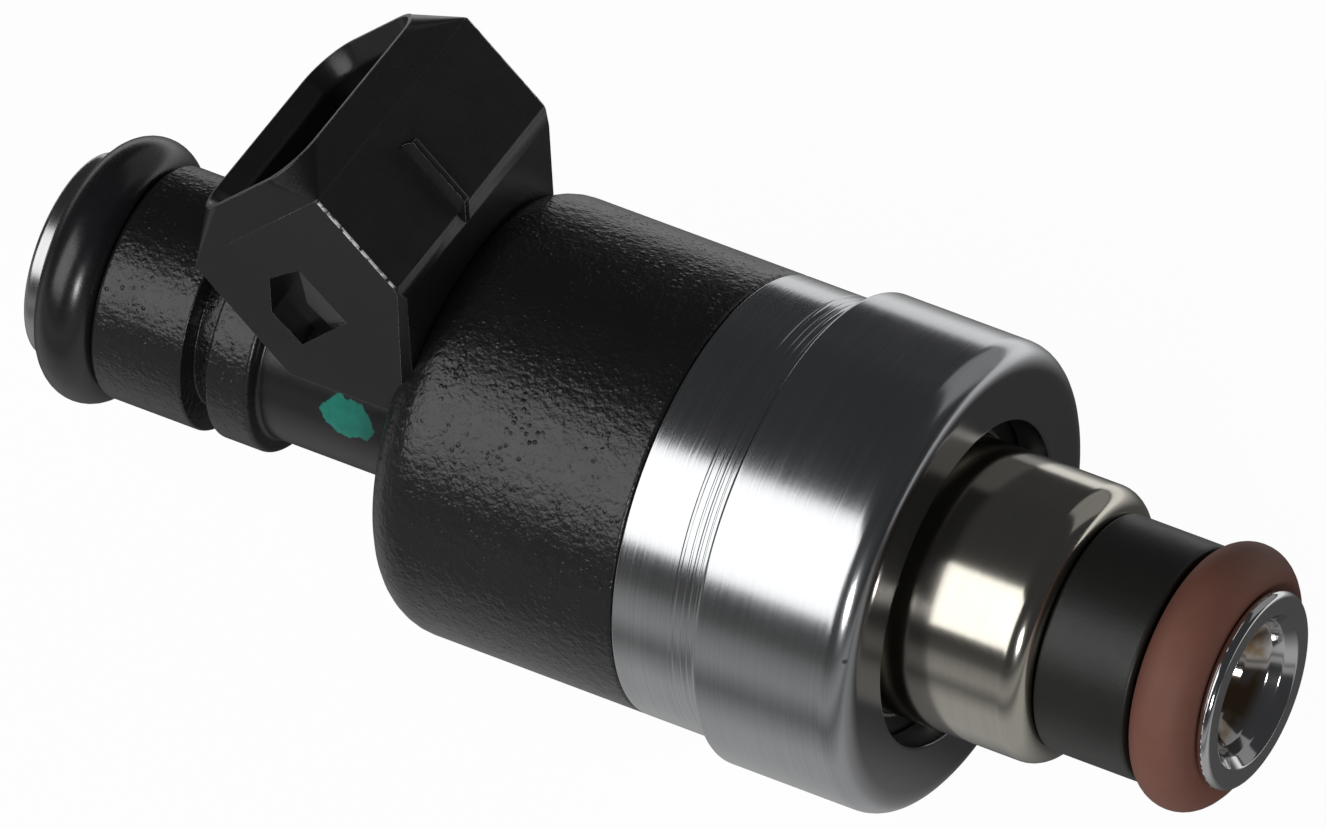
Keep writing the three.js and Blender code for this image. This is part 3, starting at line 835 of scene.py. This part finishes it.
def make_blades():
    """Two terminals: rounded tips in the socket, bent to run along the injector inside the moulding."""
    half_thick, half_wide, spacing = 0.32, 1.4, 2.7
    tip_depth, bend = 3.6, 12.4
    bend_z = side_point(bend, 0)[1]
    mitre = half_thick * math.tan(LEAN / 2)
    for node, middle in (("terminal_blade_right", -spacing), ("terminal_blade_left", spacing)):
        end_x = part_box(node)[1].x / MM
        outline = [
            side_point(tip_depth, -half_thick), side_point(bend + mitre, -half_thick),
            (end_x, bend_z - half_thick), (end_x, bend_z + half_thick),
            side_point(bend - mitre, half_thick), side_point(tip_depth, half_thick),
        ]
        bm = bmesh.new()
        prism(bm, outline, middle - half_wide, middle + half_wide)
        bmesh.ops.recalc_face_normals(bm, faces=bm.faces)
        tip = [e for e in bm.edges if all((MOUTH - v.co).dot(OUT) < tip_depth + 0.1 for v in e.verts)]
        bmesh.ops.bevel(bm, geom=tip, offset=0.2, segments=2, profile=0.5, affect="EDGES", clamp_overlap=True)
        piece = new_object(node.replace("terminal_blade", "blade"), bm)
        sharpen(piece, 40)
        finish_piece(piece, TERMINAL, node)


def make_strainer():
    """The inlet filter: a collar and an end cap tied by four ribs, with the woven screen inside."""
    collar_bore, collar_x2 = 2.05, -66.0
    cap_r, cap_x1 = 2.5, -56.5
    rib_r1, rib_x1, rib_x2, rib_half = 2.12, -66.3, -56.2, 0.3
    screen_bore = 1.85
    frame_piece = revolve("strainer_frame", soften([
        (FILTER_X1, collar_bore, 0.1), (FILTER_X1, FILTER_R, 0.15),
        (collar_x2, FILTER_R, 0.1), (collar_x2, collar_bore, 0.1),
    ]), sides=96)
    cap = revolve("strainer_cap", soften([
        (cap_x1, 0, 0), (cap_x1, cap_r, 0.1), (FILTER_X2, cap_r, 0.15), (FILTER_X2, 0, 0),
    ], closed=False), sides=96, closed=False)
    boolean(frame_piece, cap, "UNION")
    rib_outline = [(rib_x1, rib_r1), (rib_x1, cap_r), (rib_x2, cap_r), (rib_x2, rib_r1)]
    for k in range(4):
        bm = bmesh.new()
        prism(bm, rib_outline, -rib_half, rib_half)
        rib = new_object("strainer_rib", bm)
        rib.data.transform(Matrix.Rotation(math.radians(90 * k), 4, "X"))
        boolean(frame_piece, rib, "UNION")
    sharpen(frame_piece, 35)
    finish_piece(frame_piece, STRAINER, "filter_frame")
    screen = revolve("strainer_screen", soften([
        (SCREEN_X1, screen_bore, 0.04), (SCREEN_X1, SCREEN_R, 0.04),
        (SCREEN_X2, SCREEN_R, 0.04), (SCREEN_X2, screen_bore, 0.04),
    ]), sides=96)
    finish_piece(screen, STRAINER_MESH, "filter_screen")


def make_spring():
    """Coil spring at one fixed length."""
    wire, sides, turns, per_turn = 0.2, 12, 6, 28
    coil_r = SPRING_R - wire
    x1, x2 = SPRING_X1 + wire, SPRING_X2 - wire
    along = Vector((1, 0, 0))
    bm = bmesh.new()
    rings = []
    for k in range(turns * per_turn + 1):
        angle = 2 * math.pi * k / per_turn
        x = x1 + (x2 - x1) * k / (turns * per_turn)
        centre = Vector((x, coil_r * math.cos(angle), coil_r * math.sin(angle)))
        outward = Vector((0, math.cos(angle), math.sin(angle)))
        rings.append([centre + wire * (outward * math.cos(a) + along * math.sin(a))
                      for a in (2 * math.pi * s / sides for s in range(sides))])
    loft(bm, rings)
    spring = new_object("spring_coil", bm)
    finish_piece(spring, WIRE, "return_spring")
    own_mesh(spring)


def finish_hidden_pieces():
    """CAD nodes that stay as they are get their own material."""
    for material, nodes in (
        (INNER_STEEL, ("pole_piece", "flux_washer", "lower_pole_ring", "armature", "ball_guide")),
        (POLISHED, ("valve_ball", "valve_seat")),
        (INNER_RUBBER, ("upper_coil_seal", "lower_coil_seal", "body_seal_ring")),
        (BOBBIN, ("coil_bobbin",)),
        (COPPER, ("coil_winding",)),
        (TERMINAL, ("calibration_tube",)),
    ):
        for node in nodes:
            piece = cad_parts[node]
            piece.data.materials.clear()
            piece.data.materials.append(material)


# ---------------------------------------------------------------- camera, floor and light
def make_camera():
    """A long lens looking down past the tip: azimuth 32.4, elevation 44.3, rolled 3.5 degrees."""
    distance, frame_width, sensor = 2000.0, 68.3153, 36.0
    target = Vector((-29.0, -5.79, 10.90))
    right = Vector((0.866, 0.498, -0.0436)).normalized()
    back = Vector((0.383, -0.604, 0.698)).normalized()
    up = back.cross(right).normalized()
    right = up.cross(back)
    camera = bpy.data.objects.new("camera", bpy.data.cameras.new("camera"))
    bpy.context.scene.collection.objects.link(camera)
    turned = Matrix((right, up, back)).transposed().to_4x4()
    camera.matrix_world = Matrix.Translation((target + back * distance) * MM) @ turned
    camera.data.sensor_width = sensor
    camera.data.lens = sensor * distance / frame_width
    camera.data.clip_end = 50
    bpy.context.scene.camera = camera


# What polished metal mirrors from the floor, as (y, brightness). The camera itself sees plain white.
FLOOR_BANDS = [
    (-200, 0.04), (-110, 0.07), (-60, 0.25), (-38, 0.33), (-26, 0.13), (-17, 0.40), (-8, 0.40),
    (0, 0.07), (32, 0.07), (60, 0.5), (85, 0.95),
]


def make_floor():
    half = 1500.0
    corners = ((-half, -half), (half, -half), (half, half), (-half, half))
    bm = bmesh.new()
    bm.faces.new([bm.verts.new((x, y, FLOOR_Z)) for x, y in corners])
    floor = new_object("floor", bm)
    m = Nodes("floor_white")
    m.set(Roughness=0.6)
    m.shader.inputs["Base Color"].default_value = (0.05, 0.05, 0.05, 1)
    m.shader.inputs["Specular IOR Level"].default_value = 0.0
    m.shader.inputs["Emission Color"].default_value = (1, 1, 1, 1)
    mirrored = m.ramp(m.math("MULTIPLY", m.axes()[1], 1 / MM), FLOOR_BANDS)
    camera_ray = m.add("ShaderNodeLightPath").outputs["Is Camera Ray"]
    seen = m.math("MULTIPLY", camera_ray, 0.97)
    m.link(m.math("MAXIMUM", seen, mirrored), m.shader.inputs["Emission Strength"])
    floor.data.materials.append(m.material)


def add_softbox(name, direction, size, power):
    """A rectangular soft light that faces the injector's middle from a direction."""
    middle, distance = Vector((-0.030, 0, 0)), 0.6
    light = bpy.data.lights.new(name, "AREA")
    light.shape = "RECTANGLE"
    light.size, light.size_y = size
    light.energy = power
    lamp = bpy.data.objects.new(name, light)
    away = Vector(direction).normalized()
    lamp.location = middle + away * distance
    lamp.rotation_mode = "QUATERNION"
    lamp.rotation_quaternion = away.to_track_quat("Z", "Y")
    bpy.context.scene.collection.objects.link(lamp)


def towards(azimuth, elevation):
    """The direction at an azimuth and an elevation in degrees."""
    a, e = math.radians(azimuth), math.radians(elevation)
    return math.cos(e) * math.cos(a), math.cos(e) * math.sin(a), math.sin(e)


def make_light():
    """A large key light, a small one for glints, a weak one behind, and a dim room that shows as white."""
    add_softbox("key", towards(-119, 32.5), (0.46, 0.50), 1.42)
    add_softbox("glint", (0.584, -0.763, 0.269), (0.11, 0.11), 0.9)
    add_softbox("fill_back", towards(76, 26), (0.60, 0.50), 0.22)
    world = bpy.data.worlds.new("studio")
    world.use_nodes = True
    tree = world.node_tree
    background = tree.nodes["Background"]
    path = tree.nodes.new("ShaderNodeLightPath")
    mix = tree.nodes.new("ShaderNodeMix")
    mix.data_type = "RGBA"
    mix.inputs[6].default_value = (0.042, 0.043, 0.045, 1)
    mix.inputs[7].default_value = (1, 1, 1, 1)
    tree.links.new(path.outputs["Is Camera Ray"], mix.inputs["Factor"])
    tree.links.new(mix.outputs[2], background.inputs["Color"])
    bpy.context.scene.world = world
    bpy.context.scene.view_settings.view_transform = "Standard"


make_camera()
make_floor()
make_light()
make_moulding()
make_can()
make_band()
make_nozzle()
make_tip()
make_inlet()
make_seals()
make_spacer()
make_blades()
make_strainer()
make_spring()
finish_hidden_pieces()
